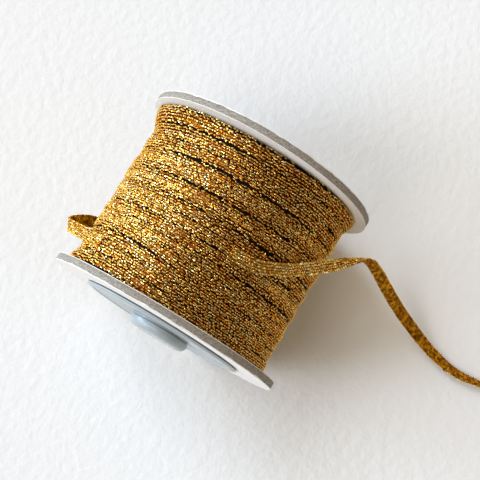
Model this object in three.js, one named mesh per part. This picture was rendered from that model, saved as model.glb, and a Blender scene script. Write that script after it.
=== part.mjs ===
// Metallic braided ribbon on its spool, lying on the two flange rims.
// Millimetres, +Z up. X runs along the spool's axis, and the origin is on the surface under its middle.
// "Around" is the angle about the axis: 0 is the top, positive turns towards +Y (the loop's side).

import * as THREE from 'three';

// Spool
const FLANGE_RADIUS = 37.5;
const FLANGE_THICKNESS = 2.4;
const FLANGE_SPACING = 54.2;
const FLAT_SPOT_DEPTH = 0.2;
const FLANGE_ARC_STEPS = 48;
const FIT_GAP = 0.3;

// Moulded end plate, the same on both ends
const PLATE_RADIUS = 26.0;
const PLATE_EDGE_THICKNESS = 0.5;
const PLATE_THICKNESS = 0.7;
const RIM_BEAD_OUTER = 24.9;
const RIM_BEAD_INNER = 23.7;
const RIM_BEAD_HEIGHT = 1.0;
const BOSS_RADIUS = 9.75;
const BOSS_HEIGHT = 3.2;
const BOSS_EDGE_ROUNDING = 0.9;
const BOSS_FOOT_FILLET = 0.5;
const PLATE_LATHE_STEPS = 60;

// Ribbon: a flat tape, a little narrower where it is wound under tension
const RIBBON_WIDTH = 4.0;
const RIBBON_THICKNESS = 0.9;
const RIBBON_EDGE_CHAMFER = 0.28;

// Winding
const WINDING_RADIUS = 32.8;
const WINDING_SIDE_BULGE = 0.4;
const TOP_DIP_AT_RIGHT_END = 3.0;
const GROOVE_DEPTH = 0.35;
const OPEN_GROOVE_DEPTH = 0.7;
const CLOSE_SPACING = 3.3;
const OPEN_SPACING = 4.1;
const SHOULDER_SHARE = 0.36;
const WINDING_STEPS = 64;

// Where each turn of the outer layer crosses three lines along the winding, as x of its middle:
// "left" is 40 degrees around, "top" 0 and "right" -50. "lift" is how far it stands out.
// The first and last rows lie behind the flanges, and only lead the wave of turns in and out.
const LEFT_LINE = 40;
const RIGHT_LINE = -50;
const TURNS = [
  { left: -28.6, top: -28.8, right: -28.9, lift: 0.0 },
  { left: -24.3, top: -25.2, right: -25.3, lift: 0.3 },
  { left: -20.4, top: -21.5, right: -21.7, lift: 0.1 },
  { left: -16.85, top: -18.0, right: -18.3, lift: 0.0 },
  { left: -12.85, top: -14.4, right: -14.9, lift: 0.25 },
  { left: -10.4, top: -11.1, right: -11.75, lift: -0.1 },
  { left: -7.25, top: -7.6, right: -7.4, lift: 0.15 },
  { left: -3.35, top: -4.1, right: -5.2, lift: -0.1 },
  { left: -0.6, top: -0.75, right: -1.2, lift: 0.1 },
  { left: 3.15, top: 3.35, right: 3.55, lift: 0.0 },
  { left: 4.45, top: 4.75, right: 5.55, lift: 0.35 },
  { left: 8.45, top: 8.85, right: 9.65, lift: 0.1 },
  { left: 10.95, top: 11.75, right: 12.05, lift: -0.1 },
  { left: 14.9, top: 15.85, right: 16.05, lift: 0.15 },
  { left: 18.9, top: 19.35, right: 20.6, lift: 0.0 },
  { left: 23.6, top: 23.45, right: 24.45, lift: 0.2 },
  { left: 28.2, top: 28.2, right: 28.6, lift: 0.0 },
];

// Beside the flanges the wound ribbon climbs where it crosses the two sides of the spool: how much
// higher it lies against the flange, and how far along the winding the climb reaches.
const CLIMBS = {
  leftEnd: { left: { climb: 1.6, reach: 4.5 }, right: { climb: 0.4, reach: 4.5 } },
  rightEnd: { left: { climb: 3.0, reach: 7.5 }, right: { climb: 1.9, reach: 4.5 } },
};

// Both routes below run the way the ribbon is wound: up the left side, over the top, down the right.
// Heights are measured from the spool's axis. "roll" turns the ribbon about its own length, in
// degrees, from the way it lies on the winding, with its width along the axis.

// Slack loop: off the winding low on the left, out to its tip, and back onto the winding higher up.
const LOOP_ROUTE = [
  { x: -10.9, y: 27.9, z: -19.3, roll: 0 },
  { x: -11.1, y: 30.8, z: -16.3, roll: 0 },
  { x: -11.4, y: 33.4, z: -13.2, roll: 0 },
  { x: -11.9, y: 35.6, z: -10.2, roll: 0 },
  { x: -12.8, y: 37.4, z: -7.8, roll: 5 },
  { x: -14.2, y: 39.3, z: -5.8, roll: 12 },
  { x: -15.7, y: 40.7, z: -4.0, roll: 22 },
  { x: -17.0, y: 41.1, z: -2.0, roll: 30 },
  { x: -17.8, y: 40.5, z: 0.5, roll: 28 },
  { x: -18.2, y: 38.9, z: 3.0, roll: 18 },
  { x: -18.4, y: 36.6, z: 5.9, roll: 8 },
  { x: -18.7, y: 34.2, z: 9.8, roll: 0 },
  { x: -19.1, y: 31.6, z: 14.3, roll: 0 },
  { x: -19.5, y: 28.3, z: 19.2, roll: 0 },
  { x: -19.8, y: 24.5, z: 23.8, roll: 0 },
];
const LOOP_STEPS = 34;

// Loose end: off the winding, over onto its other face, and down to the surface.
const LOOSE_END_ROUTE = [
  { x: -4.7, y: -9.4, z: 32.5, roll: 0 },
  { x: -4.5, y: -13.6, z: 30.9, roll: 0 },
  { x: -3.7, y: -17.6, z: 28.9, roll: 0 },
  { x: -1.7, y: -21.4, z: 26.2, roll: 0 },
  { x: 0.6, y: -24.8, z: 23.0, roll: -4 },
  { x: 3.7, y: -28.3, z: 19.0, roll: -12 },
  { x: 7.2, y: -31.6, z: 14.4, roll: -24 },
  { x: 10.6, y: -34.7, z: 9.8, roll: -44 },
  { x: 13.8, y: -37.3, z: 6.1, roll: -70 },
  { x: 16.5, y: -39.6, z: 3.0, roll: -92 },
  { x: 18.6, y: -41.4, z: 0.3, roll: -105 },
  { x: 19.8, y: -43.5, z: -2.8, roll: -113 },
  { x: 19.5, y: -46.9, z: -7.0, roll: -122 },
  { x: 17.8, y: -52.0, z: -13.4, roll: -132 },
  { x: 16.2, y: -56.8, z: -19.2, roll: -146 },
  { x: 14.6, y: -62.1, z: -24.8, roll: -163 },
  { x: 12.6, y: -69.2, z: -30.4, roll: -180 },
  { x: 10.2, y: -77.9, z: -34.2, roll: -198 },
  { x: 8.8, y: -85.9, z: -35.1, roll: -216 },
  { x: 9.1, y: -92.2, z: -35.0, roll: -230 },
  { x: 10.2, y: -98.2, z: -35.0, roll: -236 },
  { x: 12.8, y: -104.2, z: -35.4, roll: -222 },
  { x: 16.8, y: -109.6, z: -36.2, roll: -200 },
  { x: 22.0, y: -114.0, z: -36.7, roll: -182 },
];
const LOOSE_END_STEPS = 76;

// Worked out from the sizes above
const AXIS_HEIGHT = FLANGE_RADIUS - FLAT_SPOT_DEPTH;
const FLANGE_INNER_FACE = FLANGE_SPACING / 2;
const FLANGE_OUTER_FACE = FLANGE_INNER_FACE + FLANGE_THICKNESS;
const WINDING_HALF_LENGTH = FLANGE_INNER_FACE - FIT_GAP;

const radians = (degrees) => (degrees * Math.PI) / 180;
const clamp = THREE.MathUtils.clamp;

// Materials
const chipboard = new THREE.MeshStandardMaterial({ color: 0xa39c93, roughness: 0.92, metalness: 0 });
const plastic = new THREE.MeshStandardMaterial({ color: 0xb9c4c8, roughness: 0.35, metalness: 0 });
const goldRibbon = new THREE.MeshStandardMaterial({ color: 0xc9922f, roughness: 0.4, metalness: 0.85 });

function namedMesh(name, geometry, material) {
  const mesh = new THREE.Mesh(geometry, material);
  mesh.name = name;
  return mesh;
}

// A flange is a die-cut disc whose lowest sliver is pressed flat, so the spool doesn't roll.
function flangeGeometry() {
  const halfFlat = Math.acos(AXIS_HEIGHT / FLANGE_RADIUS);
  const outline = new THREE.Shape();
  outline.absarc(0, 0, FLANGE_RADIUS, -Math.PI / 2 + halfFlat, (3 * Math.PI) / 2 - halfFlat, false);
  outline.closePath();
  const geometry = new THREE.ExtrudeGeometry(outline, {
    depth: FLANGE_THICKNESS,
    bevelEnabled: false,
    curveSegments: FLANGE_ARC_STEPS,
  });
  // The drawing's up stays up, and its depth turns to +X.
  geometry.rotateX(Math.PI / 2);
  geometry.rotateZ(Math.PI / 2);
  return geometry;
}

// Half section of the end plate, as radius and distance out from the flange's face.
function endPlateGeometry() {
  const profile = [
    new THREE.Vector2(0, 0),
    new THREE.Vector2(PLATE_RADIUS, 0),
    new THREE.Vector2(PLATE_RADIUS, PLATE_EDGE_THICKNESS),
    new THREE.Vector2(RIM_BEAD_OUTER + 0.3, PLATE_EDGE_THICKNESS),
    new THREE.Vector2(RIM_BEAD_OUTER, RIM_BEAD_HEIGHT),
    new THREE.Vector2(RIM_BEAD_INNER, RIM_BEAD_HEIGHT),
    new THREE.Vector2(RIM_BEAD_INNER - 0.3, PLATE_THICKNESS),
    new THREE.Vector2(BOSS_RADIUS + BOSS_FOOT_FILLET, PLATE_THICKNESS),
    new THREE.Vector2(BOSS_RADIUS, PLATE_THICKNESS + BOSS_FOOT_FILLET),
  ];
  const bossTop = PLATE_THICKNESS + BOSS_HEIGHT;
  const roundingSteps = 3;
  for (let step = 0; step <= roundingSteps; step += 1) {
    const turn = (step / roundingSteps) * (Math.PI / 2);
    const radius = BOSS_RADIUS - BOSS_EDGE_ROUNDING * (1 - Math.cos(turn));
    const height = bossTop - BOSS_EDGE_ROUNDING * (1 - Math.sin(turn));
    profile.push(new THREE.Vector2(radius, height));
  }
  profile.push(new THREE.Vector2(0, bossTop));
  const geometry = new THREE.LatheGeometry(profile, PLATE_LATHE_STEPS);
  // The lathe's axis turns from +Y to +X.
  geometry.rotateZ(-Math.PI / 2);
  return geometry;
}

// Middle of the wound ribbon along the axis, after a number of turns. The table gives it where
// a turn crosses the left, top and right lines, and it runs smoothly between them.
const crossings = TURNS.flatMap((turn, count) => [
  { turns: count - LEFT_LINE / 360, x: turn.left },
  { turns: count, x: turn.top },
  { turns: count - RIGHT_LINE / 360, x: turn.right },
]);

function ribbonMiddle(turns) {
  const last = crossings.length - 1;
  if (turns <= crossings[0].turns) return crossings[0].x;
  if (turns >= crossings[last].turns) return crossings[last].x;
  const next = crossings.findIndex((crossing) => crossing.turns > turns);
  const before = crossings[next - 1];
  const after = crossings[next];
  const share = (turns - before.turns) / (after.turns - before.turns);
  const eased = share * share * (3 - 2 * share);
  return THREE.MathUtils.lerp(before.x, after.x, eased);
}

function ribbonLift(turns) {
  const row = clamp(turns, 0, TURNS.length - 1);
  const before = Math.floor(row);
  const after = Math.min(before + 1, TURNS.length - 1);
  return THREE.MathUtils.lerp(TURNS[before].lift, TURNS[after].lift, row - before);
}

// Radius of the winding's body at a place on it, without the grooves between turns.
function windingRadius(x, around) {
  const sine = Math.sin(around);
  const end = x > 0 ? CLIMBS.rightEnd : CLIMBS.leftEnd;
  const { climb, reach } = sine > 0 ? end.left : end.right;
  const towardsFlange = clamp((Math.abs(x) - (FLANGE_INNER_FACE - reach)) / reach, 0, 1);
  return WINDING_RADIUS + WINDING_SIDE_BULGE * sine + climb * sine * sine * towardsFlange;
}

// Where the winding meets a flange. On top of the right end the last layer hasn't filled the corner.
function rimRadius(x, around) {
  const dip = x > 0 ? TOP_DIP_AT_RIGHT_END * Math.max(Math.cos(around), 0) ** 4 : 0;
  return windingRadius(x, around) - GROOVE_DEPTH - dip;
}

// One section through the winding, at a share of the way round from the underside: two shoulders
// and a groove for each turn. Past the ends the points meet on the end's rim.
function windingSection(shareRound) {
  const around = radians(180 - 360 * shareRound);
  const place = (x, offset) => {
    if (Math.abs(x) < WINDING_HALF_LENGTH) return { x, radius: windingRadius(x, around) + offset };
    const end = Math.sign(x) * WINDING_HALF_LENGTH;
    return { x: end, radius: rimRadius(end, around) };
  };
  const points = [];
  for (let row = 0; row < TURNS.length - 1; row += 1) {
    const turns = row - 0.5 + shareRound;
    const middle = ribbonMiddle(turns);
    const nextMiddle = ribbonMiddle(turns + 1);
    const spacing = nextMiddle - middle;
    const openness = clamp((spacing - CLOSE_SPACING) / (OPEN_SPACING - CLOSE_SPACING), 0, 1);
    const depth = GROOVE_DEPTH + openness * (OPEN_GROOVE_DEPTH - GROOVE_DEPTH);
    const lift = ribbonLift(turns);
    const nextLift = ribbonLift(turns + 1);
    points.push(place(middle + SHOULDER_SHARE * spacing, lift));
    points.push(place((middle + nextMiddle) / 2, (lift + nextLift) / 2 - depth));
    points.push(place(nextMiddle - SHOULDER_SHARE * spacing, nextLift));
  }
  return points;
}

// The winding is turned as a plain drum first, and then each of its points moves to its section.
function windingGeometry() {
  const ringCount = windingSection(0).length;
  const profile = [new THREE.Vector2(0, -WINDING_HALF_LENGTH)];
  for (let ring = 0; ring < ringCount + 2; ring += 1) {
    const along = THREE.MathUtils.lerp(-WINDING_HALF_LENGTH, WINDING_HALF_LENGTH, ring / (ringCount + 1));
    profile.push(new THREE.Vector2(WINDING_RADIUS, along));
  }
  profile.push(new THREE.Vector2(0, WINDING_HALF_LENGTH));
  const geometry = new THREE.LatheGeometry(profile, WINDING_STEPS);
  geometry.rotateZ(-Math.PI / 2);

  const position = geometry.getAttribute('position');
  for (let step = 0; step <= WINDING_STEPS; step += 1) {
    const around = radians(180 - (360 * (step % WINDING_STEPS)) / WINDING_STEPS);
    const column = [
      { x: -WINDING_HALF_LENGTH, radius: 0 },
      { x: -WINDING_HALF_LENGTH, radius: rimRadius(-WINDING_HALF_LENGTH, around) },
      ...windingSection(step / WINDING_STEPS),
      { x: WINDING_HALF_LENGTH, radius: rimRadius(WINDING_HALF_LENGTH, around) },
      { x: WINDING_HALF_LENGTH, radius: 0 },
    ];
    column.forEach((point, row) => {
      const index = step * column.length + row;
      position.setXYZ(index, point.x, point.radius * Math.sin(around), point.radius * Math.cos(around));
    });
  }
  return geometry;
}

// A route whose cross-sections turn by the table's roll, so that the ribbon lies, stands on edge
// or shows its other face as the rows say.
class RolledRoute extends THREE.CatmullRomCurve3 {
  constructor(rows) {
    super(rows.map((row) => new THREE.Vector3(row.x, row.y, row.z)), false, 'centripetal');
    this.rolls = rows.map((row) => radians(row.roll));
  }

  rollAt(share) {
    const place = this.getUtoTmapping(share) * (this.rolls.length - 1);
    const before = Math.min(Math.floor(place), this.rolls.length - 2);
    return THREE.MathUtils.lerp(this.rolls[before], this.rolls[before + 1], place - before);
  }

  computeFrenetFrames(segments) {
    const tangents = [];
    const normals = [];
    const binormals = [];
    for (let step = 0; step <= segments; step += 1) {
      const tangent = this.getTangentAt(step / segments);
      const width = new THREE.Vector3(1, 0, 0);
      width.addScaledVector(tangent, -width.dot(tangent)).normalize();
      width.applyAxisAngle(tangent, this.rollAt(step / segments));
      tangents.push(tangent);
      normals.push(new THREE.Vector3().crossVectors(width, tangent));
      binormals.push(width);
    }
    return { tangents, normals, binormals };
  }
}

// The ribbon's own section: thickness across, width along, with its edges taken off.
function ribbonSection() {
  const halfThickness = RIBBON_THICKNESS / 2;
  const halfWidth = RIBBON_WIDTH / 2;
  const thinEdge = halfThickness - RIBBON_EDGE_CHAMFER;
  const shoulder = halfWidth - RIBBON_EDGE_CHAMFER;
  const corners = [
    [halfThickness, -shoulder], [halfThickness, shoulder],
    [thinEdge, halfWidth], [-thinEdge, halfWidth],
    [-halfThickness, shoulder], [-halfThickness, -shoulder],
    [-thinEdge, -halfWidth], [thinEdge, -halfWidth],
  ];
  return new THREE.Shape(corners.map(([across, along]) => new THREE.Vector2(across, along)));
}

function ribbonGeometry(rows, steps) {
  return new THREE.ExtrudeGeometry(ribbonSection(), {
    steps,
    bevelEnabled: false,
    extrudePath: new RolledRoute(rows),
  });
}

// Assembly: everything below is placed about the spool's axis, which lies AXIS_HEIGHT up.
const spool = new THREE.Group();
spool.position.z = AXIS_HEIGHT;

const flangeLeft = namedMesh('flange_left', flangeGeometry(), chipboard);
flangeLeft.position.x = -FLANGE_OUTER_FACE;
const flangeRight = namedMesh('flange_right', flangeGeometry(), chipboard);
flangeRight.position.x = FLANGE_INNER_FACE;

const endPlateLeft = namedMesh('end_plate_left', endPlateGeometry(), plastic);
endPlateLeft.rotation.z = Math.PI;
endPlateLeft.position.x = -FLANGE_OUTER_FACE - FIT_GAP;
const endPlateRight = namedMesh('end_plate_right', endPlateGeometry(), plastic);
endPlateRight.position.x = FLANGE_OUTER_FACE + FIT_GAP;

const winding = namedMesh('ribbon_winding', windingGeometry(), goldRibbon);
const slackLoop = namedMesh('slack_loop', ribbonGeometry(LOOP_ROUTE, LOOP_STEPS), goldRibbon);
const looseEnd = namedMesh('loose_end', ribbonGeometry(LOOSE_END_ROUTE, LOOSE_END_STEPS), goldRibbon);

spool.add(flangeLeft, flangeRight, endPlateLeft, endPlateRight, winding, slackLoop, looseEnd);

const part = new THREE.Group();
part.add(spool);
export default part;
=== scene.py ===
"""Metallic braided ribbon on its spool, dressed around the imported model.

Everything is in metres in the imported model's frame: X runs along the spool's axis, Z is up, and the
origin is on the surface under the middle of the axis. "Around" is the angle about the axis: 0 is the
top of the winding, and positive turns towards +Y. "Turns" counts along the wound ribbon: a whole
number is the top of that row of the winding, and the ribbon runs over the top towards -Y.
"""
import math

import bpy
import numpy as np
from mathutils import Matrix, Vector


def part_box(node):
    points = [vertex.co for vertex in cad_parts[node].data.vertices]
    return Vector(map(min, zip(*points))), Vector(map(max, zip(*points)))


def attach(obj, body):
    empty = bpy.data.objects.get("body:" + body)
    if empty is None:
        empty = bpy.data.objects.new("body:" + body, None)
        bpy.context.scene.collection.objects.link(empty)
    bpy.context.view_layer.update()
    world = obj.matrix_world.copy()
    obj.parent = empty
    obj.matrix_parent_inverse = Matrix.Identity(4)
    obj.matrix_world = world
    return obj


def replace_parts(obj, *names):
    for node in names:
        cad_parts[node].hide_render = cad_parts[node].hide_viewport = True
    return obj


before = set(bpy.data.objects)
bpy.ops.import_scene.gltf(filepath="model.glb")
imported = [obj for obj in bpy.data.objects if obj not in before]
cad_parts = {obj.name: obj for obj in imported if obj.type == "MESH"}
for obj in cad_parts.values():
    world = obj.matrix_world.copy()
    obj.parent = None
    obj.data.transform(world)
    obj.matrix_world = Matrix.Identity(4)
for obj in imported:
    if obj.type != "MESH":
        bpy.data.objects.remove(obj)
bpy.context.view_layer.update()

MM = 0.001

# Spool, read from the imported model
plate_low, plate_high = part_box("end_plate_left")
board_low, board_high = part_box("flange_left")
AXIS_HEIGHT = (plate_low.z + plate_high.z) / 2
FLANGE_RADIUS = board_high.z - AXIS_HEIGHT
FLANGE_INNER = -board_high.x
FLANGE_OUTER = -board_low.x
PLATE_RADIUS = (plate_high.z - plate_low.z) / 2
PLATE_INNER = -plate_high.x
BOSS_END = -plate_low.x
WOUND_HALF_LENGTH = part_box("ribbon_winding")[1].x

# Flanges: the lining's thickness, how far the rims of lining and board stop short of the packed
# disc, and the bevel of the board's edge. An outer lining's torn rim has four uneven waves, with this
# many to a round. How far it reaches out, and by how much the waves change that, are shares of the
# lining's thickness.
PAPER_THICKNESS = 0.16 * MM
PAPER_INSET = 0.02 * MM
BOARD_INSET = 0.06 * MM
BOARD_BEVEL = 0.10 * MM
TEARS = np.array([57, 33, 17, 7])
TEAR_REACH = 0.4
TEAR_WAVE = 1.5
TEAR_SEED = 60
FLANGE_SIDES = 256

# End plates
BOSS_RADIUS = 9.75 * MM
BOSS_ROUNDING = 2.2 * MM
BOSS_EDGE_STEPS = 9
PLATE_SIDES = 192
SHARP_EDGE = math.radians(35)

# Ribbon: five ribs of knitted stitches, squeezed a little narrower where it is wound. There each
# rib leans outwards by the crown angle more than the rib inside it.
RIBBON_WIDTH = 4.0 * MM
RIBS = 5
RIB_PITCH = 0.8 * MM
WOUND_RIB_PITCH = 0.7 * MM
STITCH_LENGTH = 0.90 * MM
WOUND_STITCH_LENGTH = 0.82 * MM
CROWN = math.radians(5)

# Core of a free stretch: a flat oval, how far it stops short of the ribbon's edge, half its thickness
# and the height of its ribs. Its route is worked out in this many steps between two rows.
CORE_SIDES = 40
CORE_INSET = 0.12 * MM
CORE_HALF_THICKNESS = 0.20 * MM
CORE_RIB_HEIGHT = 0.05 * MM
ROUTE_STEPS = 60

# Core of the wound ribbon: its eight-sided section, and its steps over all the turns
WOUND_CORE_SECTION = np.array([
    # sideways from -1 to 1, depth in millimetres
    (-0.90, 0.48),
    (-0.82, 0.40),
    (-0.4, 0.35),
    (0.4, 0.35),
    (0.82, 0.40),
    (0.90, 0.48),
    (0.80, 0.65),
    (-0.80, 0.65),
])
WOUND_CORE_STEPS = 2600
WOUND_CORE_CLEARANCE = 0.2 * MM

# Unevenness of the stitches. Tilt is the spread of a leg's lean along the ribbon, across it and in
# its face, and rise is the mean of its lean along, all as slopes. A wound stitch also strays along
# the ribbon, in shares of a stitch, and sideways, in shares of the half width.
FREE_SIZES = (0.9, 1.1)
FREE_TILT = (0.20, 0.30, 0.12)
FREE_STITCH_HEIGHT = 0.26 * MM
FREE_EDGE_WANDER = 0.10 * MM
FREE_EDGE_WAVES = [3.1, 7.3, 17.0]
WOUND_SIZES = (0.88, 1.12)
WOUND_TILT = (0.18, 0.30, 0.09)
WOUND_RISE = -0.14
STRAY_ALONG = 0.16
EDGE_RIB_STRAY = 0.08
INNER_RIB_STRAY = 0.035
HEIGHT_SPREAD = 0.045 * MM
TONE_MEAN = 0.6
TONE_SPREAD = 0.24
FLANGE_CLEARANCE = 0.25 * MM
OUTER_TURNS_SEED = 31

# Winding
WINDING_RADIUS = 32.8 * MM
SIDE_BULGE = 0.4 * MM
CORNER_DIP = 1.6 * MM
CORNER_DIP_START = 25.0 * MM
LEFT_LINE = 40
RIGHT_LINE = -50
TURN_LENGTH = 2 * math.pi * WINDING_RADIUS
OUTER_TURNS = [
    # piece, first and last turn
    ("outer_turns_left", -0.3, 4.3),
    ("outer_turns_middle_left", 4.3, 8.3),
    ("outer_turns_middle_right", 8.3, 12.3),
    ("outer_turns_right", 12.3, 16.35),
]

# Layer under the outer turns: how deep it lies, its ribs, and how far they slant along the axis
UNDER_DEPTH = 1.00 * MM
UNDER_RIB_HEIGHT = 0.10 * MM
UNDER_SLANT = 1.6 * MM
UNDER_STEPS_ALONG = 160
UNDER_STEPS_AROUND = 128

# Unevenness of the wound ribbon, with wavelengths along it: it sways sideways, ripples outwards,
# rolls about its length and drops at its edges. The gaps' edges are ragged, and where the ribbon is
# loose a narrow gap opens.
SWAY = 0.12 * MM
SWAY_WAVES = np.array([20.0, 53.0, 120.0]) * MM
SWAY_SEED = 31
RIPPLE = 0.07 * MM
RIPPLE_WAVES = np.array([8.0, 23.0, 71.0]) * MM
RIPPLE_SEED = 33
ROLL_WANDER = math.radians(5)
ROLL_WAVES = np.array([24.0, 59.0, 143.0]) * MM
EDGE_DROP = 0.30 * MM
RAGGED_MEAN = 0.6
RAGGED_SPREAD = 1.7
RAGGED_WAVES = np.array([2.1, 3.7, 8.0, 15.0]) * MM
RAGGED_SEED = 36
LOOSE_GAP = 0.45 * MM
LOOSE_WAVES = np.array([7.0, 19.0, 43.0]) * MM
LOOSE_ROW_SHIFT_IN_MM = 17
LOOSE_SEED = 37
STITCH_DEPTH = 0.15 * MM
NARROWEST_HALF_WIDTH = 1.45 * MM
WIDEST_HALF_WIDTH = 2.3 * MM

# Each turn of the outer layer, as x of its middle where it crosses the left line, the top and the
# right line, and how far it stands out. The first and last rows run behind the flanges.
TURNS = np.array([
    # left, top, right, lift
    (-28.6, -28.8, -28.9, 0.0),
    (-24.3, -25.2, -25.3, 0.4),
    (-20.4, -21.5, -21.7, 0.1),
    (-16.85, -18.0, -18.3, -0.1),
    (-12.85, -14.4, -14.9, 0.4),
    (-10.4, -11.1, -11.75, -0.1),
    (-7.25, -7.6, -7.4, 0.3),
    (-3.35, -4.1, -5.2, -0.2),
    (-0.6, -0.75, -1.2, 0.2),
    (3.15, 3.35, 3.55, -0.1),
    (4.45, 4.75, 5.55, 0.45),
    (8.45, 8.85, 9.65, 0.1),
    (10.95, 11.75, 12.05, -0.2),
    (14.9, 15.85, 16.05, 0.25),
    (18.9, 19.35, 20.6, -0.1),
    (23.6, 23.45, 24.45, 0.3),
    (28.2, 28.2, 28.6, -0.3),
]) * MM

# Where the wound ribbon climbs beside a flange, on each side of the spool: how high and how far along
CLIMBS = {
    # (end, side): (climb, reach)
    (-1, 1): (1.6 * MM, 4.5 * MM),
    (-1, -1): (0.4 * MM, 4.5 * MM),
    (1, 1): (3.0 * MM, 7.5 * MM),
    (1, -1): (1.9 * MM, 4.5 * MM),
}

# Where neighbouring turns part and the dark shows between them: the gap follows the turn of this
# row, between two angles around in degrees, and is this wide in millimetres. It opens and closes
# over GAP_EASE degrees. Elsewhere the turns touch, but for the narrow gaps where they are loose.
GAP_EASE = 6
GAPS = np.array([
    # row, from, to, width
    (3, 30, 15, 0.4),
    (5, -43, -80, 0.7),
    (6, 41, 27, 0.5),
    (7, -46, -62, 0.7),
    (8, 38, 26, 0.3),
    (8, -22, -46, 1.0),
    (8, -62, -86, 0.7),
    (10, 28, -42, 0.8),
    (11, -40, -66, 0.7),
    (12, 38, -48, 0.8),
    (13, 44, 34, 0.4),
    (13, -60, -95, 0.8),
    (14, 30, -8, 0.4),
    (15, 17, -50, 0.8),
])

# Where a turn rises to meet a free stretch of the ribbon: from and to in turns, and the two heights
RISES = [
    (4.50, 4.654, 0.0 * MM, 0.9 * MM),
    (1.873, 2.08, 1.0 * MM, 0.0 * MM),
    (6.86, 7.044, 0.0 * MM, 0.9 * MM),
]

# Routes of the two free stretches, in millimetres from the spool's axis, with the ribbon's roll
# about its own length in degrees
LOOP_ROUTE = [
    # x, y, z, roll
    (-10.9, 27.9, -19.3, 0),
    (-11.1, 30.8, -16.3, 0),
    (-11.4, 33.4, -13.2, 0),
    (-11.9, 35.6, -10.2, 0),
    (-12.8, 37.4, -7.8, 5),
    (-14.2, 39.3, -5.8, 12),
    (-15.7, 40.7, -4.0, 22),
    (-17.0, 41.1, -2.0, 30),
    (-17.8, 40.5, 0.5, 28),
    (-18.2, 38.9, 3.0, 18),
    (-18.4, 36.6, 5.9, 8),
    (-18.7, 34.2, 9.8, 0),
    (-19.1, 31.6, 14.3, 0),
    (-19.5, 28.3, 19.2, 0),
    (-19.8, 24.5, 23.8, 0),
]
LOOSE_END_ROUTE = [
    # x, y, z, roll
    (-4.7, -9.4, 32.5, 0),
    (-4.5, -13.6, 30.9, 0),
    (-3.7, -17.6, 28.9, 0),
    (-1.7, -21.4, 26.2, 0),
    (0.6, -24.8, 23.0, -4),
    (3.7, -28.3, 19.0, -12),
    (7.2, -31.6, 14.4, -24),
    (10.6, -34.7, 9.8, -44),
    (13.8, -37.3, 6.1, -70),
    (16.5, -39.6, 3.0, -92),
    (18.6, -41.4, 0.3, -105),
    (19.8, -43.5, -2.8, -113),
    (19.5, -46.9, -7.0, -122),
    (17.8, -52.0, -13.4, -132),
    (16.2, -56.8, -19.2, -146),
    (14.6, -62.1, -24.8, -163),
    (12.6, -69.2, -30.4, -180),
    (10.2, -77.9, -34.2, -198),
    (8.8, -85.9, -35.1, -216),
    (9.1, -92.2, -35.0, -230),
    (10.2, -98.2, -35.0, -236),
    (12.8, -104.2, -35.4, -222),
    (16.8, -109.6, -36.2, -200),
    (22.0, -114.0, -36.7, -182),
]

# Patterns of the materials, as how many of their features there are to a millimetre. The yarn's
# filaments, about 0.02 mm thick, and the board's fibres, about 0.03 mm, are too fine to show, so they
# are drawn coarser, as clumps of 0.4 mm and 0.8 mm. The paper's mottle and the floor's tooth stand
# for many fibres together, and are drawn at about 3 mm.
GOLD_PATCHES_PER_MM = 0.8
YARN_CLUMPS_PER_MM = 2.5
BOARD_CLUMPS_PER_MM = 1.3
BOARD_LAYERING = 4
PAPER_MOTTLES_PER_MM = 0.35
PLASTIC_FLOWS_PER_MM = 0.12
FLOOR_TEETH_PER_MM = 0.33

# Sockets of the Mix node where it mixes colours: its two colours and its result
FIRST_COLOUR = 6
SECOND_COLOUR = 7
MIXED_COLOUR = 2

# Light: discs that face the spool from LAMP_DISTANCE metres away. The angles are in degrees.
LAMP_DISTANCE = 9.0
LAMP_AIM = (0, 0, 0.03)
LAMPS = [
    # name, azimuth from +Y towards -X, height, spread, brightness, colour
    ("low_window", 10, 12, 26, 11.4, "ddf0ff"),
    ("low_side_window", 40, 12, 26, 5.0, "cfe6ff"),
    ("tall_window", 40, 34, 26, 6.0, "e0edff"),
    ("far_window", -20, 34, 26, 4.6, "e2efff"),
    ("skylight", -20, 56, 26, 6.6, "e6f2ff"),
    ("warm_lamp", -50, 12, 26, 1.6, "ffe0a8"),
    ("warm_upper_lamp", -50, 56, 26, 0.8, "ffdca0"),
    ("ceiling_side", 70, 56, 26, 3.9, "fffcf6"),
    ("left_wall", 110, 30, 40, 0.5, "ffe4b0"),
    ("right_wall", -110, 30, 40, 0.42, "ffe4c0"),
]
ROOM_COLOUR = "ffe6c4"
ROOM_BRIGHTNESS = 0.30
FLOOR_HALF_SIZE = 2.6

# Camera, at the photograph's angle: its place, the point it looks at, and its field of view
CAMERA_PLACE = Vector((-47.7, -38.0, 362.2)) * MM
CAMERA_AIM = Vector((4.82, -6.61, 37.3)) * MM
FIELD_OF_VIEW = math.radians(24.93)
SENSOR_WIDTH = 36.0
NEAREST_SEEN = 0.01


# Camera

def make_camera():
    """The camera. Its lens is half the sensor's width over the tangent of half the field of view."""
    data = bpy.data.cameras.new("camera")
    data.sensor_width = SENSOR_WIDTH
    data.lens = data.sensor_width / 2 / math.tan(FIELD_OF_VIEW / 2)
    data.clip_start = NEAREST_SEEN
    camera = bpy.data.objects.new("camera", data)
    camera.location = CAMERA_PLACE
    camera.rotation_mode = "QUATERNION"
    camera.rotation_quaternion = (CAMERA_AIM - CAMERA_PLACE).to_track_quat("-Z", "Y")
    bpy.context.scene.collection.objects.link(camera)
    bpy.context.scene.camera = camera


# Meshes

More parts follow.
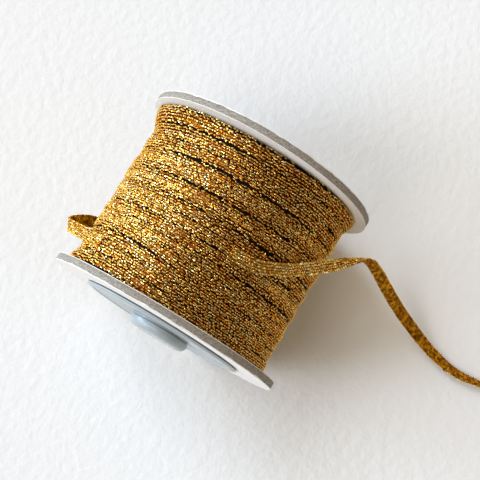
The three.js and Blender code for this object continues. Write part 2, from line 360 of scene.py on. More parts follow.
def closed_tube_faces(rings, sides):
    """Triangles of a closed tube: point (ring, side) is number ring * sides + side, each square
    between two rings is cut in two, and the last two points are the middles of the ends."""
    ring = np.arange(rings - 1)[:, None] * sides
    side = np.arange(sides)[None, :]
    after = (side + 1) % sides
    corners = [ring + side, ring + after, ring + sides + after, ring + sides + side]
    first = np.stack([corners[0], corners[1], corners[2]], -1).reshape(-1, 3)
    second = np.stack([corners[0], corners[2], corners[3]], -1).reshape(-1, 3)
    low = np.stack([np.full(sides, rings * sides), after[0], side[0]], -1)
    high_ring = (rings - 1) * sides
    high = np.stack([np.full(sides, rings * sides + 1), high_ring + side[0], high_ring + after[0]], -1)
    return np.concatenate([first, second, low, high])


def make_piece(name, points, faces, material, smooth=True, **point_values):
    """One object from an array of points and an array of triangles. Its faces are turned outwards
    where the volume that they enclose comes out negative."""
    a, b, c = (points[faces[:, corner]] for corner in range(3))
    if np.einsum("ij,ij->", a, np.cross(b, c)) < 0:
        faces = faces[:, ::-1]
    mesh = bpy.data.meshes.new(name)
    mesh.vertices.add(len(points))
    mesh.vertices.foreach_set("co", points.astype(np.float32).ravel())
    mesh.loops.add(faces.size)
    mesh.loops.foreach_set("vertex_index", faces.astype(np.int32).ravel())
    mesh.polygons.add(len(faces))
    mesh.polygons.foreach_set("loop_start", np.arange(0, faces.size, 3, dtype=np.int32))
    for value_name, values in point_values.items():
        attribute = mesh.attributes.new(value_name, "FLOAT", "POINT")
        attribute.data.foreach_set("value", values.astype(np.float32))
    mesh.update(calc_edges=True)
    mesh.polygons.foreach_set("use_smooth", np.full(len(faces), smooth))
    mesh.materials.append(material)
    piece = bpy.data.objects.new(name, mesh)
    bpy.context.scene.collection.objects.link(piece)
    return piece


def make_tube(name, rings, material, smooth=True, **point_values):
    """A closed tube from its rings of points. The middle of each end is the mean of its ring."""
    points = np.concatenate([rings.reshape(-1, 3), rings[[0, -1]].mean(axis=1)])
    faces = closed_tube_faces(*rings.shape[:2])
    return make_piece(name, points, faces, material, smooth, **point_values)


def smoothstep(share):
    """Eases from 0 to 1: three times the share squared less two times its cube."""
    share = np.clip(share, 0, 1)
    return share * share * (3 - 2 * share)


def unit(vectors):
    """Each vector over its own length."""
    return vectors / np.linalg.norm(vectors, axis=-1, keepdims=True)


def waver(place, wavelengths, seed):
    """A smooth uneven wave from -1 to 1: the mean of sines of the given wavelengths, each with its
    own random start."""
    starts = np.random.default_rng(seed).uniform(0, 2 * math.pi, len(wavelengths))
    waves = [np.sin(2 * math.pi * place / length + start) for length, start in zip(wavelengths, starts)]
    return np.mean(waves, axis=0)


# Winding: its shape, as functions of turns or of x and around

def ribbon_middle(turns):
    """x of the wound ribbon's middle. The table gives it where each row crosses three lines, and it
    eases from one crossing to the next."""
    rows = np.arange(len(TURNS))
    crossing_turns = np.stack([rows - LEFT_LINE / 360, rows, rows - RIGHT_LINE / 360], 1).ravel()
    crossing_x = TURNS[:, :3].ravel()
    before = np.clip(np.searchsorted(crossing_turns, turns) - 1, 0, len(crossing_x) - 2)
    span = crossing_turns[before + 1] - crossing_turns[before]
    share = smoothstep((turns - crossing_turns[before]) / span)
    return crossing_x[before] + share * (crossing_x[before + 1] - crossing_x[before])


def ribbon_lift(turns):
    """How far the wound ribbon stands out: the rows' lifts joined by straight lines, and the rises
    where a turn meets a free stretch."""
    lift = np.interp(turns, np.arange(len(TURNS)), TURNS[:, 3])
    for start, end, start_height, end_height in RISES:
        inside = (turns >= start) & (turns < end)
        share = smoothstep((turns - start) / (end - start))
        lift = lift + inside * (start_height + share * (end_height - start_height))
    return lift


def winding_radius(x, around):
    """Radius of the winding: round, a little wider on the left, climbing beside the flanges where
    it crosses the sides, and low in the corner at the top of the right end."""
    sine = np.sin(around)
    radius = WINDING_RADIUS + SIDE_BULGE * sine
    for (end, side), (climb, reach) in CLIMBS.items():
        here = (np.sign(x) == end) & (np.sign(sine) == side)
        share = np.clip((np.abs(x) - (FLANGE_INNER - reach)) / reach, 0, 1)
        radius = radius + here * climb * sine * sine * share
    corner = smoothstep((x - CORNER_DIP_START) / (WOUND_HALF_LENGTH - CORNER_DIP_START))
    return radius - CORNER_DIP * corner * np.maximum(np.cos(around), 0) ** 4


def on_winding(x, around, radius):
    """Points at x along the axis, an angle about it and a distance from it."""
    return np.stack([x, radius * np.sin(around), AXIS_HEIGHT + radius * np.cos(around)], -1)


# Free stretches: their middle line and how the ribbon lies along it

def smooth_route(rows, count):
    """Middle line, direction, width direction and outward face at count even steps along a route,
    and its length. Between two rows the line is a cubic through both, whose slope at each row comes
    from its neighbours and the square roots of the distances to them. The width direction is X
    turned square to the line and then rolled about it."""
    points = np.array([row[:3] for row in rows]) * MM + np.array([0, 0, AXIS_HEIGHT])
    rolls = np.radians([row[3] for row in rows])
    ends = [2 * points[0] - points[1], 2 * points[-1] - points[-2]]
    padded = np.vstack([ends[0], points, ends[1]])
    gaps = np.sqrt(np.linalg.norm(np.diff(padded, axis=0), axis=1))[:, None]
    steps = np.diff(padded, axis=0) / gaps
    wide = (padded[2:] - padded[:-2]) / (gaps[1:] + gaps[:-1])
    slopes = steps[:-1] - wide + steps[1:]
    fine = np.linspace(0, len(rows) - 1, ROUTE_STEPS * (len(rows) - 1) + 1)
    before = np.minimum(fine.astype(int), len(rows) - 2)
    t = (fine - before)[:, None]
    span = gaps[1:-1][before]
    line = ((2 * t**3 - 3 * t**2 + 1) * points[before] + (t**3 - 2 * t**2 + t) * span * slopes[before]
            + (3 * t**2 - 2 * t**3) * points[before + 1] + (t**3 - t**2) * span * slopes[before + 1])
    travelled = np.concatenate([[0], np.cumsum(np.linalg.norm(np.diff(line, axis=0), axis=1))])
    even = np.linspace(0, travelled[-1], count)
    middle = np.stack([np.interp(even, travelled, line[:, axis]) for axis in range(3)], -1)
    roll = np.interp(even, travelled, np.interp(fine, np.arange(len(rows)), rolls))[:, None]
    along = unit(np.gradient(middle, axis=0))
    across = unit(np.array([1.0, 0, 0]) - along * along[:, :1])
    across = across * np.cos(roll) + np.cross(along, across) * np.sin(roll)
    return middle, along, across, np.cross(along, across), travelled[-1]


# Stitches

def roll_about(across, out, angle):
    """Turns the across and outward directions about the ribbon's length, so that a positive angle
    leans the face towards its positive side."""
    cosine = np.cos(angle)[:, None]
    sine = np.sin(angle)[:, None]
    return across * cosine - out * sine, out * cosine + across * sine


def stitch_shape(leg_length, leg_width, leg_height, spread, slant):
    """One knitted stitch as the two legs of a V, each a four-sided grain with pointed ends and a flat
    top: its points as along, across and out, and its triangles. Each leg lies beside the middle by
    spread and is turned by slant."""
    section = np.array([
        # across, out, as shares of the width and height
        (0.50, -0.40),
        (0.33, 0.50),
        (-0.33, 0.50),
        (-0.50, -0.40),
    ]) * np.array([leg_width, leg_height])
    shoulder = 0.30 * leg_length
    tip = leg_length / 2
    tip_height = 0.2 * leg_height
    rings = [np.column_stack([np.full(4, place), section]) for place in (-shoulder, shoulder)]
    tips = np.array([[-tip, 0, tip_height], [tip, 0, tip_height]])
    grain = np.concatenate(rings + [tips])
    side = np.arange(4)
    after = (side + 1) % 4
    faces = np.concatenate([
        np.stack([side, after, 4 + after], -1),
        np.stack([side, 4 + after, 4 + side], -1),
        np.stack([np.full(4, 8), after, side], -1),
        np.stack([np.full(4, 9), 4 + side, 4 + after], -1)])
    legs = []
    for sign in (-1, 1):
        cosine = math.cos(sign * slant)
        sine = math.sin(sign * slant)
        turned = grain @ np.array([[cosine, sine, 0], [-sine, cosine, 0], [0, 0, 1]])
        legs.append(turned + np.array([0, sign * spread, 0]))
    return np.stack(legs), faces


def lay_stitches(shape, places, along, across, out, seed, sizes, tilt, rise=0.0):
    """Copies of a stitch's two legs at many places, each leg in its stitch's three directions with
    its own random size, height and tilt: tilt gives the spread of its lean along the ribbon, across
    it and in its face, and rise the mean of its lean along. Also gives each point its leg's random
    tone, which the gold face reads."""
    legs, faces = shape
    rng = np.random.default_rng(seed)
    count = len(places)
    all_points = []
    all_tones = []
    for leg in legs:
        lean, sway, swing = rng.normal(0, 1, (3, count, 1)) * np.reshape(tilt, (3, 1, 1))
        leg_along = unit(along + (rise + lean) * out + swing * across)
        leg_across = unit(across + sway * out - swing * along)
        leg_out = unit(np.cross(leg_along, leg_across))
        leg_out = leg_out * np.sign(np.einsum("ij,ij->i", leg_out, out))[:, None]
        scale = rng.uniform(*sizes, (count, 1, 1))
        offsets = (leg[None, :, 0:1] * leg_along[:, None] + leg[None, :, 1:2] * leg_across[:, None]
                   + leg[None, :, 2:3] * leg_out[:, None]) * scale
        height = rng.normal(0, HEIGHT_SPREAD, (count, 1, 1))
        all_points.append((places[:, None] + height * out[:, None] + offsets).reshape(-1, 3))
        tones = np.clip(rng.normal(TONE_MEAN, TONE_SPREAD, count), 0, 1)
        all_tones.append(np.repeat(tones, leg.shape[0]))
    leg_count = legs.shape[0] * count
    all_faces = (faces[None] + legs.shape[1] * np.arange(leg_count)[:, None, None]).reshape(-1, 3)
    return np.concatenate(all_points), all_faces, np.concatenate(all_tones)


# Materials

def linear(hex_colour):
    """An sRGB colour such as "c98a2b" as the linear values that shaders take: a dark channel over
    12.92, and any other plus 0.055, over 1.055, to the power 2.4."""
    channels = [int(hex_colour[start:start + 2], 16) / 255 for start in (0, 2, 4)]
    return [c / 12.92 if c <= 0.04045 else ((c + 0.055) / 1.055) ** 2.4 for c in channels] + [1.0]


def add_node(tree, kind, inputs=None, **settings):
    """Adds a node: settings are its own properties, and inputs are values or other nodes' sockets."""
    node = tree.nodes.new(kind)
    for name, value in settings.items():
        setattr(node, name, value)
    for name, value in (inputs or {}).items():
        if isinstance(value, bpy.types.NodeSocket):
            tree.links.new(value, node.inputs[name])
        else:
            node.inputs[name].default_value = value
    return node


def new_material(name):
    """An empty material's node tree, and a function that closes it with its surface shader."""
    material = bpy.data.materials.new(name)
    material.use_nodes = True
    tree = material.node_tree
    tree.nodes.clear()

    def close(shader):
        add_node(tree, "ShaderNodeOutputMaterial", {"Surface": shader.outputs["BSDF"]})
        return material

    return tree, close


def colour_ramp(tree, factor, stops):
    """A ramp through sRGB colours at the given places."""
    ramp = add_node(tree, "ShaderNodeValToRGB", {"Fac": factor})
    elements = ramp.color_ramp.elements
    while len(elements) < len(stops):
        elements.new(0.5)
    for element, (place, colour) in zip(elements, stops):
        element.position = place
        element.color = linear(colour)
    return ramp.outputs["Color"]


def metallised_thread_front():
    """Metallised polyester thread, knitted: gold foil laid round a yarn. Each stitch has its own
    tone, from copper brown to pale gold, so the face glitters unevenly."""
    tree, close = new_material("metallised_thread_gold_face")
    tone = add_node(tree, "ShaderNodeAttribute", attribute_name="tone")
    colour = colour_ramp(tree, tone.outputs["Fac"], [
        (0.0, "a04a0e"), (0.3, "e89c32"), (0.6, "ffda6a"), (1.0, "fff6c2")])
    return close(add_node(tree, "ShaderNodeBsdfPrincipled", {
        "Base Color": colour, "Metallic": 1.0, "Roughness": 0.24, "Specular Tint": linear("ffe0a0")}))


def mottled_gold(tree):
    """Brown gold in soft patches a millimetre or more long, darker where the yarn covers the foil:
    the colour, and the patches that it follows."""
    place = add_node(tree, "ShaderNodeTexCoord")
    patches = add_node(tree, "ShaderNodeTexNoise", {
        "Vector": place.outputs["Object"], "Scale": GOLD_PATCHES_PER_MM / MM, "Detail": 3.0,
        "Roughness": 0.6})
    colour = colour_ramp(tree, patches.outputs["Fac"], [
        (0.38, "704204"), (0.5, "a4700e"), (0.62, "e0a428")])
    return colour, patches.outputs["Fac"]


def metallised_thread_back():
    """The same thread on the ribbon's inner face, where the yarn covers much of the foil, so it is a
    duller brown gold in patches."""
    tree, close = new_material("metallised_thread_dull_face")
    colour, _ = mottled_gold(tree)
    return close(add_node(tree, "ShaderNodeBsdfPrincipled", {
        "Base Color": colour, "Metallic": 0.7, "Roughness": 0.45, "Specular Tint": linear("ffc860")}))


def core_foil():
    """The thread's copper brown foil deep between the stitches: it mirrors the light only in the
    foil's own colour, so it is amber towards the light and nearly black in the shade."""
    tree, close = new_material("core_thread_copper_foil")
    place = add_node(tree, "ShaderNodeTexCoord")
    fibres = add_node(tree, "ShaderNodeTexNoise", {
        "Vector": place.outputs["Object"], "Scale": YARN_CLUMPS_PER_MM / MM})
    colour = colour_ramp(tree, fibres.outputs["Fac"], [(0.3, "381404"), (0.7, "703808")])
    return close(add_node(tree, "ShaderNodeBsdfPrincipled", {
        "Base Color": colour, "Metallic": 1.0, "Roughness": 0.25, "Specular Tint": linear("ffb848")}))


def ground_yarn():
    """A free stretch between its stitches: on the inner side the polyester yarn in mottled brown
    gold, matt, and on the outer side deep copper brown."""
    tree, close = new_material("ground_yarn_brown_gold")
    mottled, patches = mottled_gold(tree)
    inner = add_node(tree, "ShaderNodeAttribute", attribute_name="inner")
    colour = add_node(tree, "ShaderNodeMix", {
        "Factor": inner.outputs["Fac"], FIRST_COLOUR: linear("5c340c"), SECOND_COLOUR: mottled},
        data_type="RGBA")
    bump = add_node(tree, "ShaderNodeBump", {"Height": patches, "Strength": 0.6, "Distance": 0.2 * MM})
    return close(add_node(tree, "ShaderNodeBsdfPrincipled", {
        "Base Color": colour.outputs[MIXED_COLOUR], "Metallic": 0.6, "Roughness": 0.5,
        "Specular Tint": linear("ffc860"), "Normal": bump.outputs["Normal"]}))


def shaded_yarn():
    """The same yarn deep in the winding, painted nearly black as painted shade, for the turns above keep
    the light out."""
    tree, close = new_material("inner_turns_yarn_near_black")
    place = add_node(tree, "ShaderNodeTexCoord")
    fibres = add_node(tree, "ShaderNodeTexNoise", {
        "Vector": place.outputs["Object"], "Scale": YARN_CLUMPS_PER_MM / MM})
    # painted shade: the yarn's colour darkened to nearly black where the turns above keep the light out
    colour = colour_ramp(tree, fibres.outputs["Fac"], [(0.3, "0b0605"), (0.7, "1c100b")])
    return close(add_node(tree, "ShaderNodeBsdfPrincipled", {
        "Base Color": colour, "Roughness": 0.8, "Specular IOR Level": 0.1}))


def chipboard():
    """Grey chipboard, die cut: its edge shows short pressed fibres in layers along the disc, matt
    and a little uneven."""
    tree, close = new_material("chipboard_grey_die_cut")
    place = add_node(tree, "ShaderNodeTexCoord")
    layers = add_node(tree, "ShaderNodeMapping", {
        "Vector": place.outputs["Object"], "Scale": (BOARD_LAYERING, 1, 1)})
    fibres = add_node(tree, "ShaderNodeTexNoise", {
        "Vector": layers.outputs["Vector"], "Scale": BOARD_CLUMPS_PER_MM / MM, "Detail": 3.0,
        "Roughness": 0.8})
    colour = colour_ramp(tree, fibres.outputs["Fac"], [
        (0.32, "544e46"), (0.5, "8f897f"), (0.68, "bdb7ad")])
    bump = add_node(tree, "ShaderNodeBump", {
        "Height": fibres.outputs["Fac"], "Strength": 0.5, "Distance": 0.15 * MM})
    return close(add_node(tree, "ShaderNodeBsdfPrincipled", {
        "Base Color": colour, "Roughness": 0.9, "Normal": bump.outputs["Normal"]}))


def lining_paper():
    """White coated paper, glued on the board: smooth, with a faint mottle."""
    tree, close = new_material("lining_paper_white")
    place = add_node(tree, "ShaderNodeTexCoord")
    mottle = add_node(tree, "ShaderNodeTexNoise", {
        "Vector": place.outputs["Object"], "Scale": PAPER_MOTTLES_PER_MM / MM})
    colour = colour_ramp(tree, mottle.outputs["Fac"], [(0.3, "e8e5e1"), (0.7, "eeebe8")])
    return close(add_node(tree, "ShaderNodeBsdfPrincipled", {
        "Base Color": colour, "Roughness": 0.55}))


def moulded_plastic():
    """Polypropylene, moulded: milky grey blue with a soft, slightly blurred shine."""
    tree, close = new_material("polypropylene_moulded_grey_blue")
    place = add_node(tree, "ShaderNodeTexCoord")
    flow = add_node(tree, "ShaderNodeTexNoise", {
        "Vector": place.outputs["Object"], "Scale": PLASTIC_FLOWS_PER_MM / MM})
    colour = colour_ramp(tree, flow.outputs["Fac"], [(0.3, "9aa5aa"), (0.7, "a5aeb2")])
    return close(add_node(tree, "ShaderNodeBsdfPrincipled", {
        "Base Color": colour, "Roughness": 0.45, "IOR": 1.49, "Coat Weight": 0.55,
        "Coat Roughness": 0.2}))


GOLD = metallised_thread_front()
DULL_GOLD = metallised_thread_back()
CORE_FOIL = core_foil()
GROUND_YARN = ground_yarn()
SHADED_YARN = shaded_yarn()
BOARD = chipboard()
PAPER = lining_paper()
PLASTIC = moulded_plastic()

WOUND_STITCH = stitch_shape(
    leg_length=0.78 * MM, leg_width=0.20 * MM, leg_height=0.32 * MM,
    spread=0.105 * MM, slant=math.radians(8))
FREE_STITCH = stitch_shape(
    leg_length=0.92 * MM, leg_width=0.31 * MM, leg_height=0.34 * MM,
    spread=0.16 * MM, slant=math.radians(12))
INNER_STITCH = stitch_shape(
    leg_length=0.50 * MM, leg_width=0.34 * MM, leg_height=0.26 * MM,
    spread=0.16 * MM, slant=math.radians(70))


# Free stretches of the ribbon

def ribbon_core(name, rows, stations):
    """The ribbon's ground as a flat closed tube, carried along the route. Its section is an oval of
    powers of the cosine and sine, with five shallow ribs on each face. A value at each point tells
    the inner face from the outer one."""
    middle, _, across, out, length = smooth_route(rows, stations)
    angle = np.linspace(0, 2 * math.pi, CORE_SIDES, endpoint=False)
    half_width = RIBBON_WIDTH / 2 - CORE_INSET
    sideways = np.sign(np.cos(angle)) * np.abs(np.cos(angle)) ** 0.7 * half_width
    ribbed = CORE_HALF_THICKNESS + CORE_RIB_HEIGHT * np.cos(2 * math.pi * sideways / RIB_PITCH)
    upwards = np.sign(np.sin(angle)) * np.abs(np.sin(angle)) ** 0.5 * ribbed
    rings = (middle[:, None] + sideways[None, :, None] * across[:, None]
             + upwards[None, :, None] * out[:, None])
    inner = np.append(np.tile(upwards < 0, stations), [True, True])
    return make_tube(name, rings, GROUND_YARN, inner=inner), middle, length


def free_stitches(name, rows, length, face, shape, material, seed):
    """Stitches on one face of a free stretch, from end to end: five ribs across and one stitch each
    stitch length, neighbouring ribs half a stitch apart. The edge ribs wander a little. face is 1 for
    the outer face and -1 for the inner one."""
    stations = 2 * round(length / STITCH_LENGTH) + 1
    middle, along, across, out, _ = smooth_route(rows, stations)
    edge_rib = (RIBS - 1) / 2
    step, offset = np.meshgrid(np.arange(stations), np.arange(RIBS) - edge_rib, indexing="ij")
    chosen = (step + offset.astype(int)) % 2 == 0
    step = step[chosen]
    offset = offset[chosen]
    edge_wander = FREE_EDGE_WANDER * waver(step, FREE_EDGE_WAVES, seed) * (np.abs(offset) == edge_rib)
    sideways = offset * RIB_PITCH + np.sign(offset) * edge_wander
    places = middle[step] + sideways[:, None] * across[step] + face * FREE_STITCH_HEIGHT * out[step]
    points, faces, tone = lay_stitches(
        shape, places, along[step], across[step], face * out[step], seed, FREE_SIZES, FREE_TILT)
    piece = make_piece(name, points, faces, material, smooth=False, tone=tone)
    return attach(piece, "root")


def make_free_stretch(node, rows, stations, seed):
    """A free stretch of the ribbon: its core, the gold stitches on its outer face and the short dull
    cross stitches on its inner one."""
    core, middle, length = ribbon_core(node + "_core", rows, stations)
    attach(core, "root")
    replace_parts(core, node)
    outer = free_stitches(node + "_outer_stitches", rows, length, 1, FREE_STITCH, GOLD, seed)
    inner = free_stitches(node + "_inner_stitches", rows, length, -1, INNER_STITCH, DULL_GOLD, seed + 1)


# Winding

def make_under_turns():
    """The layer under the outer turns: a closed drum whose radius is the winding's, less a little
    more than one ribbon, with shallow ribs that run round it at their own slight slant."""
    x = np.linspace(-WOUND_HALF_LENGTH, WOUND_HALF_LENGTH, UNDER_STEPS_ALONG)
    around = np.linspace(0, 2 * math.pi, UNDER_STEPS_AROUND, endpoint=False)
    x_grid, around_grid = np.meshgrid(x, around, indexing="ij")
    slanted = x_grid + UNDER_SLANT * np.cos(around_grid)
    ribs = UNDER_RIB_HEIGHT * np.cos(2 * math.pi * slanted / WOUND_RIB_PITCH)
    radius = winding_radius(x_grid, around_grid) - UNDER_DEPTH + ribs
    drum = make_tube("under_turns", on_winding(x_grid, around_grid, radius), SHADED_YARN)
    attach(drum, "root")
    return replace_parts(drum, "ribbon_winding")


def gap_beside(row, around):
    """Width of the gap after a row of the winding, at an angle around: each entry of the table opens
    at its start and closes at its end, both over a few degrees."""
    degrees = (np.degrees(around) + 180) % 360 - 180
    width = np.zeros_like(around)
    for gap_row, start, end, size in GAPS:
        opening = smoothstep((start + GAP_EASE / 2 - degrees) / GAP_EASE)
        closing = smoothstep((degrees - end + GAP_EASE / 2) / GAP_EASE)
        width = np.maximum(width, (row == gap_row) * (opening * closing) * size * MM)
    return width


def on_turn(turns, sideways, depth):
    """A point of the wound ribbon: sideways from -1 to 1 across it, and depth under its face. The
    ribbon fills the room between its neighbours, less the wider of two gaps: the table's gap times
    a ragged wave, and the narrow gap where a slower wave is high. It sways and ripples a little, and
    drops at its edges by the fourth power of sideways."""
    run = turns * TURN_LENGTH
    around = -2 * math.pi * turns
    side = np.where(sideways < 0, -1, 1)
    middle = ribbon_middle(turns)
    room = np.abs(ribbon_middle(turns + side) - middle) / 2
    row = np.round(turns) + np.where(side < 0, -1, 0)
    ragged = np.maximum(RAGGED_MEAN + RAGGED_SPREAD * waver(run, RAGGED_WAVES, RAGGED_SEED), 0)
    shifted_run = run + row * LOOSE_ROW_SHIFT_IN_MM * MM
    loose = smoothstep(4 * waver(shifted_run, LOOSE_WAVES, LOOSE_SEED) - 1)
    gap = np.maximum(gap_beside(row, around) * ragged, LOOSE_GAP * loose)
    half_width = np.clip(room - gap / 2, NARROWEST_HALF_WIDTH, WIDEST_HALF_WIDTH)
    sway = SWAY * waver(run, SWAY_WAVES, SWAY_SEED)
    x = middle + sway + sideways * half_width
    ripple = RIPPLE * waver(run, RIPPLE_WAVES, RIPPLE_SEED)
    edge_drop = EDGE_DROP * np.abs(sideways) ** 4
    radius = winding_radius(x, around) + ribbon_lift(turns) + ripple - edge_drop - STITCH_DEPTH - depth
    return on_winding(x, around, radius)


def make_outer_core():
    """The wound ribbon's copper foil middle: a flat band of eight-sided section that follows the
    turns just under their stitches."""
    turns = np.linspace(OUTER_TURNS[0][1], OUTER_TURNS[-1][2], WOUND_CORE_STEPS)
    turns_grid, sideways = np.meshgrid(turns, WOUND_CORE_SECTION[:, 0], indexing="ij")
    rings = on_turn(turns_grid, sideways, WOUND_CORE_SECTION[:, 1] * MM)
    limit = WOUND_HALF_LENGTH - WOUND_CORE_CLEARANCE
    rings[..., 0] = np.clip(rings[..., 0], -limit, limit)
    core = make_tube("outer_turns_core", rings, CORE_FOIL)
    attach(core, "root")
    return core


def make_outer_turns(name, first, last, seed):
    """Stitches of the outer layer from one count of turns to another: five ribs of them, with
    neighbouring ribs half a stitch apart. Each strays at random along the ribbon and sideways, most
    in the edge ribs. Their direction is the difference of two near points of the turn, and they lean
    outwards with the crown and roll with the ribbon."""
    per_turn = round(TURN_LENGTH / WOUND_STITCH_LENGTH)
    half_steps = np.arange(round(2 * per_turn * (last - first)))
    edge_rib = (RIBS - 1) / 2
    step, offset = np.meshgrid(half_steps, np.arange(RIBS) - edge_rib, indexing="ij")
    chosen = (step + offset.astype(int)) % 2 == 0
    offset = offset[chosen]
    rng = np.random.default_rng(seed)
    turns = first + (step[chosen] / 2 + rng.normal(0, STRAY_ALONG, len(offset))) / per_turn
    stray = np.where(np.abs(offset) == edge_rib, EDGE_RIB_STRAY, INNER_RIB_STRAY)
    sideways = offset / (RIBS / 2) + stray * rng.normal(0, 1, len(offset))
    near = 0.2 / per_turn
    places = on_turn(turns, sideways, 0)
    along = unit(on_turn(turns + near, sideways, 0) - on_turn(turns - near, sideways, 0))
    around = -2 * math.pi * turns
    out = np.stack([np.zeros_like(around), np.sin(around), np.cos(around)], -1)
    across = unit(np.cross(out, along))
    roll = CROWN * offset + ROLL_WANDER * waver(turns * TURN_LENGTH, ROLL_WAVES, seed + 6)
    across, out = roll_about(across, out, roll)
    kept = np.abs(places[:, 0]) < FLANGE_INNER - FLANGE_CLEARANCE
    points, faces, tone = lay_stitches(
        WOUND_STITCH, places[kept], along[kept], across[kept], out[kept], seed + 3,
        WOUND_SIZES, WOUND_TILT, WOUND_RISE)
    piece = make_piece(name, points, faces, GOLD, smooth=False, tone=tone)
    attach(piece, "root")
    return piece


# Spool

def disc_rings(profile, sides):
    """Rings of a disc about the spool's axis: the profile gives x and radius, and each radius is cut
    off where it would reach below the surface, which leaves the small flat spot."""
    angle = np.linspace(0, 2 * math.pi, sides, endpoint=False)
    down = np.maximum(-np.cos(angle), 1e-6)
    profile = np.array(profile)
    radius = np.minimum(profile[:, 1:], AXIS_HEIGHT / down[None, :])
    return on_winding(np.broadcast_to(profile[:, :1], radius.shape), angle[None, :], radius)


def make_flange(side):
    """A board disc with bevelled edges, and a thin paper disc on each face. The outer paper is torn
    at its rim, where it reaches out unevenly."""
    name = "left" if side < 0 else "right"
    paper = PAPER_THICKNESS
    inner = FLANGE_INNER
    outer = FLANGE_OUTER
    edge = BOARD_BEVEL
    board_profile = [
        # x, radius
        (side * (inner + paper), FLANGE_RADIUS - edge - BOARD_INSET),
        (side * (inner + paper + edge), FLANGE_RADIUS - BOARD_INSET),
        (side * (outer - paper - edge), FLANGE_RADIUS - BOARD_INSET),
        (side * (outer - paper), FLANGE_RADIUS - edge - BOARD_INSET),
    ]
    board = make_tube("board_" + name, disc_rings(board_profile, FLANGE_SIDES), BOARD)
    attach(board, "root")
    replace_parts(board, "flange_" + name)
    for face, low, high in (("inner", inner, inner + paper), ("outer", outer - paper, outer)):
        profile = [(side * low, FLANGE_RADIUS - PAPER_INSET), (side * high, FLANGE_RADIUS - PAPER_INSET)]
        rings = disc_rings(profile, FLANGE_SIDES)
        if face == "outer":
            around = np.linspace(0, 2 * math.pi, FLANGE_SIDES, endpoint=False)
            torn = waver(around, 2 * math.pi / TEARS, TEAR_SEED + side)
            rings[0, :, 0] -= side * paper * np.maximum(TEAR_REACH + TEAR_WAVE * torn, 0)
        lining = make_tube("lining_" + name + "_" + face, rings, PAPER, smooth=False)
        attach(lining, "root")


def make_end_plate(side):
    """A moulded disc with a raised band near its edge and a round boss with a narrow neck, turned
    about the axis. The boss's edge is a quarter of a circle."""
    name = "left" if side < 0 else "right"
    base = PLATE_INNER
    profile = [
        # x, radius: the rim, the raised band, the groove round the boss, and its neck
        (base, PLATE_RADIUS - 0.1 * MM),
        (base + 0.1 * MM, PLATE_RADIUS),
        (base + 0.4 * MM, PLATE_RADIUS),
        (base + 0.5 * MM, PLATE_RADIUS - 0.1 * MM),
        (base + 0.5 * MM, 25.2 * MM),
        (base + 0.7 * MM, 25.0 * MM),
        (base + 0.75 * MM, 24.8 * MM),
        (base + 0.75 * MM, 23.8 * MM),
        (base + 0.7 * MM, 23.6 * MM),
        (base + 0.5 * MM, 23.4 * MM),
        (base + 0.5 * MM, BOSS_RADIUS + 0.6 * MM),
        (base + 0.3 * MM, BOSS_RADIUS + 0.3 * MM),
        (base + 0.3 * MM, BOSS_RADIUS - 0.5 * MM),
        (base + 1.0 * MM, BOSS_RADIUS - 0.5 * MM),
        (base + 1.2 * MM, BOSS_RADIUS),
    ]
    for turn in np.linspace(0, math.pi / 2, BOSS_EDGE_STEPS):
        x = BOSS_END - BOSS_ROUNDING * (1 - math.sin(turn))
        profile.append((x, BOSS_RADIUS - BOSS_ROUNDING * (1 - math.cos(turn))))
    rings = disc_rings([(side * x, radius) for x, radius in profile], PLATE_SIDES)
    plate = make_tube("plate_" + name, rings, PLASTIC)
    plate.data.set_sharp_from_angle(angle=SHARP_EDGE)
    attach(plate, "root")
    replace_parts(plate, "end_plate_" + name)


# Surroundings

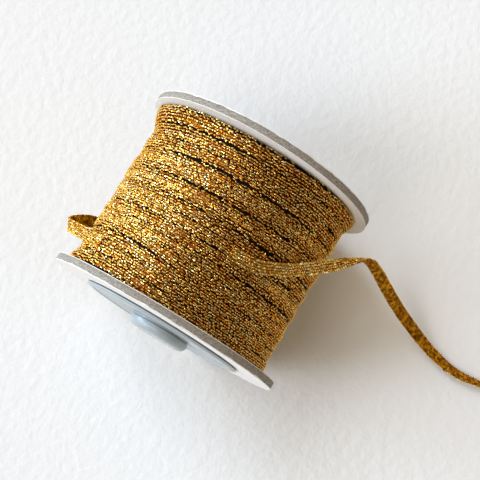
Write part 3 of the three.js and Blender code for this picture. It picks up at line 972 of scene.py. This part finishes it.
def make_floor():
    """A pale sheet of paper: white with a slight tooth."""
    tree, close = new_material("floor_paper_pale")
    place = add_node(tree, "ShaderNodeTexCoord")
    tooth = add_node(tree, "ShaderNodeTexNoise", {
        "Vector": place.outputs["Object"], "Scale": FLOOR_TEETH_PER_MM / MM, "Detail": 3.0})
    bump = add_node(tree, "ShaderNodeBump", {
        "Height": tooth.outputs["Fac"], "Strength": 0.5, "Distance": 0.5 * MM})
    material = close(add_node(tree, "ShaderNodeBsdfPrincipled", {
        "Base Color": linear("e6e7e8"), "Roughness": 0.85, "Normal": bump.outputs["Normal"]}))
    half = FLOOR_HALF_SIZE
    corners = [(-half, -half, 0), (half, -half, 0), (half, half, 0), (-half, half, 0)]
    mesh = bpy.data.meshes.new("floor")
    mesh.from_pydata(corners, [], [(0, 1, 2, 3)])
    mesh.materials.append(material)
    floor = bpy.data.objects.new("floor", mesh)
    bpy.context.scene.collection.objects.link(floor)


def make_light(name, place, aim, size, power, colour):
    """A round lamp at a place, turned to face the aim."""
    data = bpy.data.lights.new(name, "AREA")
    data.shape = "DISK"
    data.size = size
    data.energy = power
    data.color = linear(colour)[:3]
    light = bpy.data.objects.new(name, data)
    light.location = place
    light.rotation_mode = "QUATERNION"
    light.rotation_quaternion = (Vector(aim) - Vector(place)).to_track_quat("-Z", "Y")
    bpy.context.scene.collection.objects.link(light)


def make_room():
    """Warm dim light, the same from all round."""
    world = bpy.data.worlds.new("room")
    world.use_nodes = True
    tree = world.node_tree
    tree.nodes.clear()
    background = add_node(tree, "ShaderNodeBackground", {
        "Color": linear(ROOM_COLOUR), "Strength": ROOM_BRIGHTNESS})
    add_node(tree, "ShaderNodeOutputWorld", {"Surface": background.outputs["Background"]})
    bpy.context.scene.world = world


def make_lamps():
    """Soft round lights. A lamp's diameter is twice its distance times the tangent of half its
    spread, and its power is its brightness times pi squared times a quarter of the diameter squared."""
    for name, azimuth, height, spread, radiance, colour in LAMPS:
        azimuth = math.radians(azimuth)
        height = math.radians(height)
        level = math.cos(height)
        towards = Vector((-math.sin(azimuth) * level, math.cos(azimuth) * level, math.sin(height)))
        size = 2 * LAMP_DISTANCE * math.tan(math.radians(spread) / 2)
        power = radiance * math.pi * math.pi * size * size / 4
        make_light(name, towards * LAMP_DISTANCE, LAMP_AIM, size, power, colour)


make_camera()
make_free_stretch("slack_loop", LOOP_ROUTE, stations=211, seed=11)
make_free_stretch("loose_end", LOOSE_END_ROUTE, stations=561, seed=21)
make_under_turns()
make_outer_core()
for number, (name, first, last) in enumerate(OUTER_TURNS):
    make_outer_turns(name, first, last, OUTER_TURNS_SEED + 10 * number)
for side in (-1, 1):
    make_flange(side)
    make_end_plate(side)
make_floor()
make_room()
make_lamps()

# Standard shows the colours as they are lit, without a film's tone curve
bpy.context.scene.view_settings.view_transform = "Standard"
